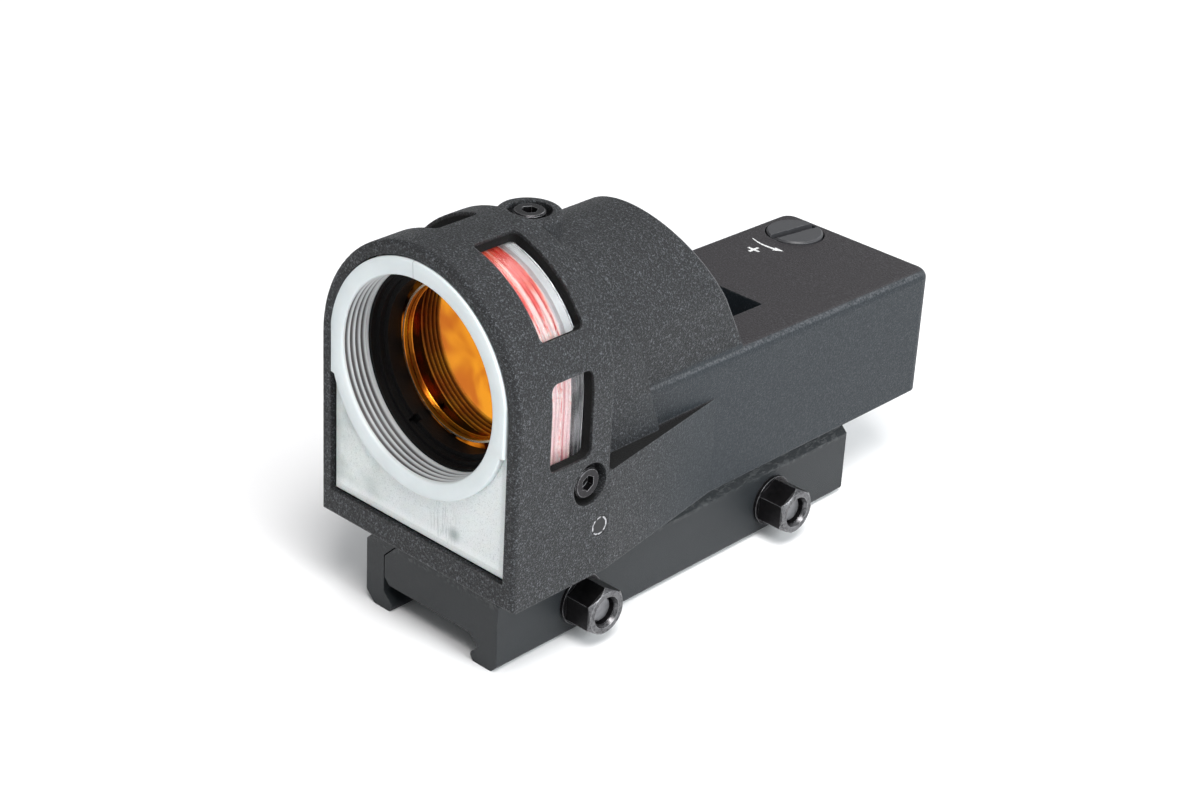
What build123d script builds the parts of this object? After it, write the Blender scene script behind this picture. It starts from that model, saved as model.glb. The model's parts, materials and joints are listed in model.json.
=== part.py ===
from build123d import *
import os

# Reflex sight on a clamp for a 21.2 mm accessory rail, built from separate pieces.
# Millimetres. +Z is up, +Y points back to the shooter, +X is the side of the clamp nuts.
# The origin is on the seat that rests on the rail, midway between the two cross bolts.

# Rail clamp
RAIL_HALF = 10.6           # half of the 21.2 mm rail
BOLT_PITCH = 50.0          # five 10 mm rail slots
BOLT_R = 2.5
BOLT_Z = 1.6               # the bolts reach into the slots of the rail
BOLT_HEAD_END = -15.9
BOLT_FREE_END = 20.9
BASE_FRONT = -44.5
BASE_REAR = 46.5
BASE_HALF = 15.8
BASE_TOP = 11.4
BASE_LEFT = -11.5          # side of the base that faces the clamp bar
BAR_GAP = 0.2
BAR_SIDE = -16.0
HOOK_BOTTOM = -5.2
HOOK_TIP = 9.5
HOOK_TIP_Z = -3.85
HOOK_ROUND = 0.8
BAR_SHOULDER = 8.7
END_ROUND = 3.0            # rear upper corner of the base and the bar
NUT_ACROSS = 8.0
NUT_START = 16.55
NUT_LENGTH = 5.7
WASHER_R = 4.7
BASE_SCREW_Y = 12.0
BASE_SCREW_HEAD_R = 3.6
BASE_SCREW_R = 1.95

# Housing
AXIS_Z = 45.0              # optical axis above the rail
FRONT_Y = -48.7
HOUSING_LENGTH = 114.5
BLOCK_HALF = 23.0
BLOCK_DEPTH = 22.0
FRAME_BOTTOM = 16.1
STAGE_R = 18.9
BARREL_R = 17.3
BARREL_FLAT = 17.0         # the barrel's straight sides, inside the box's
BORE_R = 15.0
BOX_HALF = 17.6
BOX_TOP = 37.9             # at the block, falling to the rear
BOX_FALL = 1.9
LEDGE_Z = 30.0
TAPER_END = 54.0
STAGE_SLOPE = -0.35        # run of the slanted ends along Y for each mm of height
RIM_SLOPE = -0.52
STAGE_DEPTH = 33.3         # depth of the slanted ends at the height of the axis
RIM_DEPTH = 56.9
REACH = 60.0               # more than any half size, for cutting shapes

# Objective
RING_R = 20.45
RING_FLAT = 20.25
RING_SHOULDER = 6.5        # the flat sides end this far below the axis
NECK_R = 18.2
NECK_BACK = 5.4            # depth of the ring's inner end
THREAD_R = 17.4
LENS_R = 15.6
LENS_FRONT = 9.95          # depth on the axis
LENS_CURVE = 140.0
CLEAR_R = 13.8
STEP_R = (16.9, 16.1, 15.2)
STEP_DEPTH = (6.6, 7.7)
NOTCH_ANGLE = -122.0       # spanner notches of the step ring, from +X
NOTCH_WIDTH = 1.4

# Light collecting winding in the front block
CAVITY_HALF = 20.8
CAVITY_DEPTH = 15.6
FLANGE_DEPTH = 17.0        # the arch and sides reach deeper than the foot
FLANGE_IN = 2.0
SHOULDER = 11.6            # below the axis, where the foot begins
PANE_OUT = 0.05            # insets from the wall of the cavity
PANE_IN = 0.75
COIL_OUT = 0.8
COIL_IN = 1.8
COIL_FRONT = 6.8
COIL_REAR = 15.3
PANE_REAR = 16.8
WINDOW_FRONT = 7.4
WINDOW_REAR = 16.9
WINDOW_OUT = 26.0
SIDE_WINDOW_LOW = -10.6    # from the axis
SIDE_WINDOW_HIGH = 5.0

# Cap screws of the block
CAP_HEAD_R = 2.7
CAP_HEAD_H = 2.1
CAP_SINK = 2.6
CAP_BORE_R = 3.8
CAP_THREAD_R = 1.5
CAP_LENGTH = 5.6
TOP_CAP_RISE = 0.5         # the top screw sits flush with its boss
HEX_ACROSS = 2.5
BOSS_R = 5.6
BOSS_DEPTH = 24.3
BOSS_TOP = 67.6
SIDE_CAP_DEPTH = 17.0
SIDE_CAP_Z = 29.2
PLUG_DEPTH = 19.8
PLUG_Z = 20.4
PLUG_R = 1.9

# Rear box, depths behind the front face
WELL_HALF = 7.5
WELL_REAR = 77.2
WELL_Z = 27.0
ROOM_FRONT = 79.2
ROOM_REAR = 112.2
ROOM_HALF = 15.4
ROOM_TOP = 32.4
ROOM_BOTTOM = 12.9
COVER_FRONT = 78.2
COVER_REAR = 113.1
COVER_HALF = 16.3
COVER_SCREW_X = 14.2
COVER_SCREW_R = 0.9
GUIDE_Z = 20.4
GUIDE_R = 1.5

# Reticle adjustment
RETICLE_Z = 29.4
DISC_X = -9.6
DISC_DEPTH = 106.9
DISC_R = 5.4
DISC_GAP = 0.3
DISC_RISE = 0.5            # the disc stands proud of the roof
DISC_FLOOR = 1.7           # thickness of the roof of the room under the disc
COIN_SLOT = 1.9
SLOT_ANGLE = 81.0          # coin slot of the elevation screw at rest, from +X
SCREW_R = 2.0
NECK_EXTRA = 0.5
WIND_DEPTH = 86.0
WIND_Z = 19.5
WIND_R = 4.5
WIND_NECK_R = 1.9
WIND_SCREW_R = 1.5
PIN_R = 1.0
PIN_Z = 15.2
PIN_START = -15.6
PIN_END = 16.8
SADDLE_PIN_DEPTHS = (84.5, 95.5)
RETICLE_PIN_X = 5.0
RETICLE_PIN_DEPTH = 90.0
PAD_SIDE = -13.6           # inner face of the pads inside the left wall
RUN = 0.05                 # radial clearance of running fits


def at(depth):
    """Y of a point a given depth behind the front face."""
    return FRONT_Y + depth


def block(x0, x1, y0, y1, z0, z1):
    size = Box(x1 - x0, y1 - y0, z1 - z0)
    return Pos((x0 + x1) / 2, (y0 + y1) / 2, (z0 + z1) / 2) * size


def rod_x(radius, x0, x1, y, z):
    return Pos((x0 + x1) / 2, y, z) * Rot(0, 90, 0) * Cylinder(radius, x1 - x0)


def rod_y(radius, y0, y1, x=0.0, z=AXIS_Z):
    return Pos(x, (y0 + y1) / 2, z) * Rot(90, 0, 0) * Cylinder(radius, y1 - y0)


def rod_z(radius, z0, z1, x, y):
    return Pos(x, y, (z0 + z1) / 2) * Cylinder(radius, z1 - z0)


def front_profile(points, y0, y1):
    """Prism along Y from (x, z) points."""
    face = Plane.XZ * Polygon(*points, align=None)
    return Pos(0, y0, 0) * extrude(face, amount=y1 - y0, dir=(0, 1, 0))


def side_profile(points, x0, x1):
    """Prism along X from (y, z) points."""
    face = Plane.YZ * Polygon(*points, align=None)
    return Pos(x0, 0, 0) * extrude(face, amount=x1 - x0, dir=(1, 0, 0))


def arch(half, y0, y1, bottom):
    """Prism with an arched top about the optical axis and flat sides."""
    return rod_y(half, y0, y1) + block(-half, half, y0, y1, bottom, AXIS_Z)


def slant(depth, slope):
    """Everything in front of a plane that crosses the axis at this depth."""
    low = AXIS_Z - REACH
    high = AXIS_Z + REACH
    ahead = at(-REACH)
    foot = at(depth) - slope * REACH
    head = at(depth) + slope * REACH
    corners = [(ahead, low), (foot, low), (head, high), (ahead, high)]
    return side_profile(corners, -REACH, REACH)


def cavity(inset, y0, y1):
    """Winding space: arch, straight sides, then a narrower foot."""
    half = CAVITY_HALF - inset
    foot = CAVITY_HALF - 2.4 - inset
    shoulder = AXIS_Z - SHOULDER
    waist = shoulder - 2.4
    floor = AXIS_Z - 26.0 + inset
    sides = [(-half, AXIS_Z), (-half, shoulder), (-foot, waist), (-foot, floor)]
    outline = sides + [(-x, z) for x, z in reversed(sides)]
    return rod_y(half, y0, y1) + front_profile(outline, y0, y1)


def winding_layer(outer, inner, y0, y1):
    return cavity(outer, y0, y1) - cavity(inner, y0 - 1, y1 + 1)


def above_shoulder(shape):
    return shape & block(-REACH, REACH, at(0), at(BLOCK_DEPTH), AXIS_Z - SHOULDER + 0.2, 2 * REACH)


def on_side(shape, side):
    """The shape itself for the right side, its mirror image for the left."""
    return shape if side > 0 else mirror(shape, Plane.YZ)


def upper_window(side, y0, y1, inner, outer, start, end):
    """Sector above the axis on one side, angles from the horizontal."""
    shape = rod_y(outer, y0, y1) - rod_y(inner, y0 - 1, y1 + 1)
    half_space = Box(2 * REACH, 4 * REACH, REACH)
    below = Pos(0, 0, AXIS_Z) * Rot(0, -start, 0) * Pos(0, 0, -REACH / 2) * half_space
    above = Pos(0, 0, AXIS_Z) * Rot(0, -end, 0) * Pos(0, 0, REACH / 2) * half_space
    return on_side(shape - below - above, side)


def side_window(side):
    low = AXIS_Z + SIDE_WINDOW_LOW
    high = AXIS_Z + SIDE_WINDOW_HIGH
    shape = block(19.0, WINDOW_OUT, at(WINDOW_FRONT), at(WINDOW_REAR), low, high)
    return on_side(fillet(shape.edges().filter_by(Axis.X), 1.5), side)


def box_top(depth):
    """Height of the sloping top of the rear box."""
    return BOX_TOP - BOX_FALL * (depth - BLOCK_DEPTH) / (HOUSING_LENGTH - BLOCK_DEPTH)


# ---------------------------------------------------------------- housing

def front_block():
    front = arch(BLOCK_HALF, at(0), at(BLOCK_DEPTH), BASE_TOP)
    front = fillet(front.faces().sort_by(Axis.Y)[0].edges(), 0.9)
    crown = front.faces().sort_by(Axis.Y)[-1].edges().filter_by(GeomType.CIRCLE)
    front = fillet(crown, 1.0)
    boss = rod_z(BOSS_R, AXIS_Z, BOSS_TOP, 0, at(BOSS_DEPTH))
    return front + fillet(boss.edges().sort_by(Axis.Z)[-1], 0.9)


def rear_box():
    start = at(BLOCK_DEPTH - 4)
    end = at(HOUSING_LENGTH)
    top_start = box_top(BLOCK_DEPTH - 4)
    top_end = box_top(HOUSING_LENGTH)
    corners = [(start, BASE_TOP), (end, BASE_TOP), (end, top_end), (start, top_start)]
    box = side_profile(corners, -BOX_HALF, BOX_HALF)
    box = fillet(box.edges().filter_by(Axis.Z).sort_by(Axis.Y)[-2:], 3.0)
    top_edges = box.faces().sort_by(Axis.Z)[-1].edges().sort_by(Axis.Y)[1:]
    return fillet(top_edges, 1.7)


def fairing():
    """Lower sides that taper in plan from the block to the box."""
    plan = [(-BLOCK_HALF, at(BLOCK_DEPTH - 4)), (-BLOCK_HALF, at(BLOCK_DEPTH)), (-BOX_HALF, at(TAPER_END))]
    plan = plan + [(-x, y) for x, y in reversed(plan)]
    face = Pos(0, 0, BASE_TOP) * Polygon(*plan, align=None)
    return extrude(face, amount=LEDGE_Z - BASE_TOP, dir=(0, 0, 1))


def soften_boss(body):
    """Blend where the boss of the top screw meets the stage and the barrel."""
    foot = body.edges().filter_by(lambda e: is_boss_foot(e.center()))
    return fillet(foot, 1.2)


def is_boss_foot(point):
    beside = abs(point.X) < BOSS_R + 0.5
    behind = at(BLOCK_DEPTH) + 0.3 < point.Y < at(BOSS_DEPTH) + BOSS_R + 0.5
    return beside and behind and BOSS_TOP - 6 < point.Z < BOSS_TOP - 1.5


def housing_outside():
    stage = arch(STAGE_R, at(20), at(50), LEDGE_Z - 5) & slant(STAGE_DEPTH, STAGE_SLOPE)
    end_edges = stage.faces().sort_by(Axis.Y)[-1].edges().sort_by(Axis.Z)
    stage = fillet(end_edges[1:], 1.0)
    barrel = arch(BARREL_R, at(20), at(80), BOX_TOP - 4) & slant(RIM_DEPTH, RIM_SLOPE)
    barrel &= block(-BARREL_FLAT, BARREL_FLAT, at(20), at(80), 0, REACH + AXIS_Z)
    return soften_boss(front_block() + stage + barrel) + rear_box() + fairing()


def cap_bore(place):
    """Counterbore and tapped hole for a low cap screw, opening along local +Z."""
    sink = Pos(0, 0, 1 - CAP_SINK / 2) * Cylinder(CAP_BORE_R, CAP_SINK + 2)
    hole = Pos(0, 0, -CAP_SINK - 3.0) * Cylinder(CAP_THREAD_R + RUN, 6.0)
    return place * (sink + hole)


def cap_places():
    top = Pos(0, at(BOSS_DEPTH), BOSS_TOP + TOP_CAP_RISE)
    right = Pos(BLOCK_HALF, at(SIDE_CAP_DEPTH), SIDE_CAP_Z) * Rot(0, 90, 0)
    left = Pos(-BLOCK_HALF, at(SIDE_CAP_DEPTH), SIDE_CAP_Z) * Rot(0, -90, 0)
    return {"top_screw": top, "side_screw_right": right, "side_screw_left": left}


def cut_front(body):
    """Front opening, winding space, lens seat, bore and windows."""
    body -= arch(CAVITY_HALF - 0.1, at(-1), at(3.0), FRAME_BOTTOM)
    body -= cavity(0, at(2), at(CAVITY_DEPTH))
    body -= above_shoulder(winding_layer(0, FLANGE_IN, at(CAVITY_DEPTH - 1), at(FLANGE_DEPTH)))
    body -= rod_y(LENS_R + 0.1, at(15), at(17.0))
    body -= rod_y(CLEAR_R + 0.1, at(16), at(21))
    body -= rod_y(BORE_R, at(20), at(90)) & slant(RIM_DEPTH - 1.2, RIM_SLOPE)
    body -= rod_y(CLEAR_R + 0.2, at(40), at(90)) & slant(RIM_DEPTH, RIM_SLOPE)
    for side in (1, -1):
        opening = upper_window(side, at(WINDOW_FRONT), at(WINDOW_REAR), CAVITY_HALF, WINDOW_OUT, 29.5, 80.0)
        body -= fillet(opening.edges().filter_by(GeomType.LINE).filter_by(Axis.Y, reverse=True), 1.0)
        body -= side_window(side)
    for place in cap_places().values():
        body -= cap_bore(place)
    return body - rod_x(PLUG_R, BLOCK_HALF - 1.2, BLOCK_HALF + 1, at(PLUG_DEPTH), PLUG_Z)


def cut_room(body):
    """Emitter well, light guide hole and the room of the reticle."""
    well = block(-WELL_HALF, WELL_HALF, at(50), at(WELL_REAR), WELL_Z, AXIS_Z)
    body -= well - slant(RIM_DEPTH, RIM_SLOPE)
    body -= rod_y(GUIDE_R + RUN, at(CAVITY_DEPTH - 1), at(ROOM_FRONT + 1), 0, GUIDE_Z)
    body -= block(-ROOM_HALF, ROOM_HALF, at(ROOM_FRONT), at(ROOM_REAR), BASE_TOP - 1, ROOM_TOP)
    body -= block(-5, 5, at(WELL_REAR - 1), at(ROOM_FRONT + 1), RETICLE_Z - 1.8, RETICLE_Z + 1.8)
    return body - block(-6.5, 6.5, at(ROOM_FRONT - 1.2), at(ROOM_FRONT + 1), RETICLE_Z - 3.0, RETICLE_Z + 3.0)


def add_room_bosses(body):
    """Pads that carry the windage screw, the saddle pins and the cover screws."""
    wall = ROOM_HALF + 0.5
    body += block(-wall, PAD_SIDE, at(COVER_FRONT + 0.3), at(90), ROOM_BOTTOM, WIND_Z + 6.5)
    body += block(-wall, PAD_SIDE, at(89), at(99), ROOM_BOTTOM, PIN_Z + 2.8)
    body -= block(-COVER_HALF, COVER_HALF, at(COVER_FRONT), at(COVER_REAR), BASE_TOP - 1, ROOM_BOTTOM)
    for x, y in cover_screw_places()[1:]:
        inner = x - 1.4 if x > 0 else x + 1.4
        low, high = sorted((inner, wall if x > 0 else -wall))
        body += block(low, high, y - 2.6, y + 2.6, ROOM_BOTTOM, ROOM_BOTTOM + 6)
    return body


def drill_room(body):
    elevation = (DISC_X, at(DISC_DEPTH))
    body -= rod_z(DISC_R + DISC_GAP, ROOM_TOP + DISC_FLOOR, AXIS_Z, *elevation)
    body -= rod_z(SCREW_R + NECK_EXTRA + RUN, ROOM_TOP - 1, AXIS_Z, *elevation)
    body -= rod_x(WIND_R + 0.2, -BOX_HALF - 2, -BOX_HALF + 1.8, at(WIND_DEPTH), WIND_Z)
    body -= rod_x(WIND_NECK_R + RUN, -BOX_HALF - 2, -13, at(WIND_DEPTH), WIND_Z)
    for depth in SADDLE_PIN_DEPTHS:
        body -= rod_x(PIN_R, PIN_START, PIN_END, at(depth), PIN_Z)
    for x, y in cover_screw_places():
        body -= rod_z(COVER_SCREW_R + RUN, ROOM_BOTTOM - 0.1, ROOM_BOTTOM + 5.0, x, y)
    for y in (-BASE_SCREW_Y, BASE_SCREW_Y):
        body -= rod_z(BASE_SCREW_R + RUN, BASE_TOP - 1, BASE_TOP + 4.8, 0, y)
    return body


def housing():
    body = cut_room(cut_front(housing_outside()))
    return drill_room(add_room_bosses(body))


def cover_screw_places():
    """The first stands in the pad of the windage screw, the others in posts of their own."""
    left, right = -COVER_SCREW_X, COVER_SCREW_X
    return [(left, at(81.0)), (left, at(101)), (right, at(82)), (right, at(109))]


# ---------------------------------------------------------------- front pieces

def front_plate():
    """Frosted plate below and around the ring, with a bevelled edge."""
    plate = arch(CAVITY_HALF - 0.35, at(0.8), at(2.9), FRAME_BOTTOM + 0.15)
    plate = chamfer(plate.faces().sort_by(Axis.Y)[0].edges(), 0.4)
    return plate - rod_y(NECK_R + 0.1, at(0), at(4))


def front_ring():
    """Threaded ring; its flange has straight sides that end in two small shoulders."""
    flange = rod_y(RING_R, at(-0.4), at(0.75)) & block(-RING_FLAT, RING_FLAT, at(-1), at(1), 0, 90)
    flange = fillet(flange.faces().sort_by(Axis.Y)[0].edges(), 0.3)
    sides = block(-RING_FLAT, RING_FLAT, at(-0.4), at(0.75), AXIS_Z - RING_SHOULDER, AXIS_Z + 1.5)
    flange += chamfer(sides.edges().filter_by(Axis.Z).sort_by(Axis.Y)[:2], 0.25)
    neck = rod_y(NECK_R, at(0.7), at(NECK_BACK))
    return flange + neck - rod_y(THREAD_R, at(-1), at(7))


def step_ring():
    """Black ring behind the thread, stepped inwards, with two spanner notches."""
    ring = rod_y(NECK_R, at(NECK_BACK + RUN), at(8.55)) + rod_y(LENS_R, at(8.5), at(10.7))
    for radius, depth in zip(STEP_R, STEP_DEPTH):
        ring -= rod_y(radius, at(5), at(depth))
    ring -= rod_y(STEP_R[-1], at(5), at(12))
    for turn in (0, 180):
        notch = Pos(16.0, 0, 0) * Box(2.4, 1.6, NOTCH_WIDTH)
        ring -= Pos(0, at(STEP_DEPTH[1]), AXIS_Z) * Rot(0, -NOTCH_ANGLE - turn, 0) * notch
    return ring


def aperture_ring():
    """Thin gilt ring on the glass, round the clear aperture."""
    return rod_y(CLEAR_R + 0.1, at(9.7), at(10.5)) - rod_y(CLEAR_R - 0.25, at(9), at(11))


def dome(depth):
    """Ball whose front is at this depth on the axis."""
    return Pos(0, at(depth) + LENS_CURVE, AXIS_Z) * Sphere(LENS_CURVE)


def objective_front():
    return (rod_y(LENS_R, at(9), at(17)) & dome(LENS_FRONT)) - dome(12.9)


def objective_rear():
    return (rod_y(LENS_R, at(9), at(17)) & dome(12.92)) - dome(15.6)


def objective_seal():
    return Pos(0, at(16.72), AXIS_Z) * Rot(90, 0, 0) * Torus(14.75, 0.22)


def bobbin():
    body = cavity(0.15, at(3.1), at(COIL_FRONT - 0.1))
    body += cavity(COIL_IN + 0.05, at(COIL_FRONT - 0.2), at(COIL_REAR + 0.1))
    flange = winding_layer(COIL_OUT + 0.05, FLANGE_IN - 0.05, at(COIL_REAR + 0.05), at(FLANGE_DEPTH - 0.1))
    body += above_shoulder(flange)
    body -= rod_y(NECK_R + 0.1, at(3), at(8.6))
    return body - rod_y(LENS_R + 0.1, at(8), at(16))


def fibre_coil():
    return winding_layer(COIL_OUT, COIL_IN, at(COIL_FRONT), at(COIL_REAR))


def pane_upper(side):
    inner = CAVITY_HALF - PANE_IN
    outer = CAVITY_HALF - PANE_OUT
    return upper_window(side, at(WINDOW_FRONT - 0.6), at(PANE_REAR), inner, outer, 26.0, 84.0)


def pane_side(side):
    layer = winding_layer(PANE_OUT, PANE_IN, at(WINDOW_FRONT - 0.6), at(PANE_REAR))
    low = AXIS_Z + SIDE_WINDOW_LOW - 0.7
    high = AXIS_Z + SIDE_WINDOW_HIGH + 1.6
    return layer & on_side(block(10, 30, at(0), at(20), low, high), side)


def hex_prism(across, height):
    """Hexagon of a given width across its flats, standing on the XY plane."""
    return extrude(RegularPolygon(across / 2, 6, major_radius=False), amount=height)


def cap_screw(place):
    head = Pos(0, 0, -CAP_SINK + CAP_HEAD_H / 2) * Cylinder(CAP_HEAD_R, CAP_HEAD_H)
    head = chamfer(head.edges().sort_by(Axis.Z)[-1], 0.25)
    socket = Pos(0, 0, -CAP_SINK + CAP_HEAD_H) * hex_prism(HEX_ACROSS, -1.3)
    shank = Pos(0, 0, -CAP_SINK - CAP_LENGTH / 2) * Cylinder(CAP_THREAD_R, CAP_LENGTH)
    return place * (head + shank - socket)


def side_plug():
    return rod_x(PLUG_R - RUN, BLOCK_HALF - 1.15, BLOCK_HALF - 0.05, at(PLUG_DEPTH), PLUG_Z)


def light_guide():
    return rod_y(GUIDE_R, at(CAVITY_DEPTH), at(83.4), 0, GUIDE_Z)


# ---------------------------------------------------------------- rear window and emitter

def slanted_disc(radius, near, far):
    """Disc across the bore between two slanted planes."""
    disc = rod_y(radius, at(20), at(90)) & slant(RIM_DEPTH - near, RIM_SLOPE)
    return disc - slant(RIM_DEPTH - far, RIM_SLOPE)


def rear_window():
    return slanted_disc(BORE_R - RUN, 1.25, 3.2)


def rear_retainer():
    return slanted_disc(BORE_R - RUN, 3.25, 4.2) - rod_y(CLEAR_R + 0.1, at(20), at(90))


def emitter_glass():
    front = at(ROOM_FRONT - 1.15)
    rear = at(ROOM_FRONT - 0.1)
    return block(-6.4, 6.4, front, rear, RETICLE_Z - 2.9, RETICLE_Z + 2.9)


def box_cover():
    half = COVER_HALF - 0.1
    plate = block(-half, half, at(COVER_FRONT + 0.1), at(COVER_REAR - 0.1), BASE_TOP + 0.1, ROOM_BOTTOM - RUN)
    plate = fillet(plate.edges().filter_by(Axis.Z).sort_by(Axis.Y)[-2:], 1.5)
    for x, y in cover_screw_places():
        plate -= rod_z(COVER_SCREW_R + 0.15, BASE_TOP, ROOM_BOTTOM, x, y)
        plate -= Pos(x, y, BASE_TOP + 0.5) * Cone(2.1, COVER_SCREW_R + 0.15, 1.05)
    return plate


def cover_screw(x, y):
    head = Pos(x, y, BASE_TOP + 0.62) * Cone(1.9, COVER_SCREW_R + 0.05, 0.9)
    screw = head + rod_z(COVER_SCREW_R, BASE_TOP + 1.0, BASE_TOP + 5.5, x, y)
    return screw - block(x - 2, x + 2, y - 0.25, y + 0.25, BASE_TOP, BASE_TOP + 0.5)


# ---------------------------------------------------------------- reticle adjustment

def elevation_screw():
    """Captured screw with a coin slot; it turns but stays at its height."""
    top = box_top(DISC_DEPTH) + DISC_RISE
    disc = rod_z(DISC_R, ROOM_TOP + DISC_FLOOR + RUN, top, 0, 0)
    disc = chamfer(disc.edges().sort_by(Axis.Z)[-1], 0.3)
    disc -= block(-DISC_R - 1, DISC_R + 1, -COIN_SLOT / 2, COIN_SLOT / 2, top - 1.1, top + 1)
    screw = disc + rod_z(SCREW_R + NECK_EXTRA, ROOM_TOP - 0.5, ROOM_TOP + 2, 0, 0)
    screw += rod_z(SCREW_R, ROOM_TOP - 13.2, ROOM_TOP, 0, 0)
    return Pos(DISC_X, at(DISC_DEPTH), 0) * Rot(0, 0, SLOT_ANGLE) * screw


def elevation_clip():
    clip = rod_z(3.4, ROOM_TOP - 1.3, ROOM_TOP - 0.55, DISC_X, at(DISC_DEPTH))
    return clip - rod_z(SCREW_R, 0, 60, DISC_X, at(DISC_DEPTH))


def elevation_nut():
    nut = block(-15.2, -5.4, at(103), at(112.0), 21.0, 25.0)
    tongue = block(-12.4, -7.6, at(98.9), at(103.5), 22.0, 24.0)
    return nut + tongue - rod_z(SCREW_R + RUN, 20, 26, DISC_X, at(DISC_DEPTH))


def windage_screw():
    y = at(WIND_DEPTH)
    face = -BOX_HALF + RUN
    disc = rod_x(WIND_R, face, face + DISC_FLOOR, y, WIND_Z)
    disc -= block(face - 1, face + 0.85, y - 0.5, y + 0.5, WIND_Z - 6, WIND_Z + 6)
    screw = disc + rod_x(WIND_NECK_R, face + 1, -13.0, y, WIND_Z)
    return screw + rod_x(WIND_SCREW_R, -13.5, -8.4, y, WIND_Z)


def windage_clip():
    y = at(WIND_DEPTH)
    return rod_x(2.8, PAD_SIDE + 0.1, -13.05, y, WIND_Z) - rod_x(WIND_NECK_R, -20, 0, y, WIND_Z)


def windage_saddle():
    """Carriage that slides sideways on two pins."""
    saddle = block(-11.0, 8.0, at(82), at(98), 13.7, 16.7)
    saddle += block(-11.0, -8.2, at(83), at(88.8), 16.0, 22.4)
    for depth in SADDLE_PIN_DEPTHS:
        saddle -= rod_x(PIN_R + RUN, -20, 20, at(depth), PIN_Z)
    for x in (-RETICLE_PIN_X, RETICLE_PIN_X):
        saddle -= rod_z(PIN_R, 14.3, 18, x, at(RETICLE_PIN_DEPTH))
    return saddle - rod_x(WIND_SCREW_R + RUN, -12, -8, at(WIND_DEPTH), WIND_Z)


def saddle_pin(depth):
    return rod_x(PIN_R, PIN_START, PIN_END, at(depth), PIN_Z)


def reticle_pin(x):
    return rod_z(PIN_R, 14.3, 30.6, x, at(RETICLE_PIN_DEPTH))


def reticle_block():
    """Block that rides up and down on the carriage's pins, driven by its forked arm."""
    body = block(-7, 7, at(84.5), at(95.5), 17.8, 31.2)
    arm = block(-13, -5, at(90.6), at(101.6), 21.0, 25.0)
    body += arm - block(-14, -4, at(98.6), at(102), 21.9, 24.1)
    for x in (-RETICLE_PIN_X, RETICLE_PIN_X):
        body -= rod_z(PIN_R + RUN, 17, 32, x, at(RETICLE_PIN_DEPTH))
    body -= rod_y(1.5, at(84), at(96), 0, RETICLE_Z)
    return body - rod_y(2.2, at(84), at(85.1), 0, RETICLE_Z)


def reticle_mask():
    disc = rod_y(2.0, at(84.55), at(85.05), 0, RETICLE_Z)
    return disc - rod_y(0.3, at(84), at(86), 0, RETICLE_Z)


def glow_capsule():
    return rod_y(1.45, at(85.6), at(94.5), 0, RETICLE_Z)


# ---------------------------------------------------------------- rail clamp

def end_shape():
    """Side outline shared by the base and the bar, rounded at the rear."""
    outline = block(-REACH, REACH, BASE_FRONT, BASE_REAR, HOOK_BOTTOM, BASE_TOP)
    rear = outline.edges().filter_by(Axis.X).group_by(Axis.Y)[-1].sort_by(Axis.Z)
    outline = fillet(rear[-1], END_ROUND)
    lower = outline.edges().filter_by(Axis.X).group_by(Axis.Z)[0].sort_by(Axis.Y)
    return fillet(lower[-1], END_ROUND / 2)


def round_hook(body):
    """Rounds the long outer edges under the rail."""
    long_edges = body.edges().filter_by(Axis.Y)
    return fillet([e for e in long_edges if e.center().Z < HOOK_BOTTOM + 2.1], HOOK_ROUND)


def base():
    top = BASE_TOP - RUN
    outer = [(BASE_HALF - 3.8, top), (BASE_HALF, top - 3.8), (BASE_HALF, HOOK_BOTTOM + 1.2)]
    hook = [(BASE_HALF - 1.2, HOOK_BOTTOM), (HOOK_TIP + 0.8, HOOK_BOTTOM), (HOOK_TIP, HOOK_TIP_Z)]
    rail_face = [(RAIL_HALF + 0.8, -1.95), (RAIL_HALF - 1.15, 0)]
    inner = [(BASE_LEFT + 1.2, 0), (BASE_LEFT, 1.2), (BASE_LEFT, 5.4)]
    inner += [(BASE_LEFT + 3, 8.4), (BASE_LEFT + 3, top)]
    body = front_profile(outer + hook + rail_face + inner, BASE_FRONT, BASE_REAR)
    body = round_hook(body) & end_shape()
    for y in (-BOLT_PITCH / 2, BOLT_PITCH / 2):
        body -= rod_x(BOLT_R + 0.1, -20, 20, y, BOLT_Z)
    for y in (-BASE_SCREW_Y, BASE_SCREW_Y):
        body -= rod_z(BASE_SCREW_R + 0.15, -1, BASE_TOP + 1, 0, y)
        body -= rod_z(BASE_SCREW_HEAD_R + 0.2, -1, 3.0, 0, y)
    return body


def base_screw(y):
    head = rod_z(BASE_SCREW_HEAD_R, 0.4, 2.95, 0, y)
    head = chamfer(head.edges().sort_by(Axis.Z)[0], 0.3)
    socket = Pos(0, y, 0.4) * hex_prism(3.0, 1.6)
    return head + rod_z(BASE_SCREW_R, 2.5, BASE_TOP + 4.6, 0, y) - socket


def clamp_bar():
    inner = BASE_LEFT - BAR_GAP
    shoulder = -BAR_SHOULDER
    outline = [(inner, 5.5), (shoulder, 8.5), (shoulder, 10.8), (shoulder - 3.5, 10.8), (BAR_SIDE, 7.0)]
    outline += [(BAR_SIDE, -3.2), (BAR_SIDE + 2, HOOK_BOTTOM), (-HOOK_TIP - 0.4, HOOK_BOTTOM)]
    outline += [(-HOOK_TIP, HOOK_TIP_Z), (inner, HOOK_TIP_Z - inner - HOOK_TIP)]
    bar = round_hook(front_profile(outline, BASE_FRONT, BASE_REAR)) & end_shape()
    for y in (-BOLT_PITCH / 2, BOLT_PITCH / 2):
        bar -= rod_x(BOLT_R, -20, -8, y, BOLT_Z)
    return bar


def cross_bolt(y):
    bolt = rod_x(BOLT_R, BOLT_HEAD_END, BOLT_FREE_END, y, BOLT_Z)
    return chamfer(bolt.edges().sort_by(Axis.X)[-1], 0.5)


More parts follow.
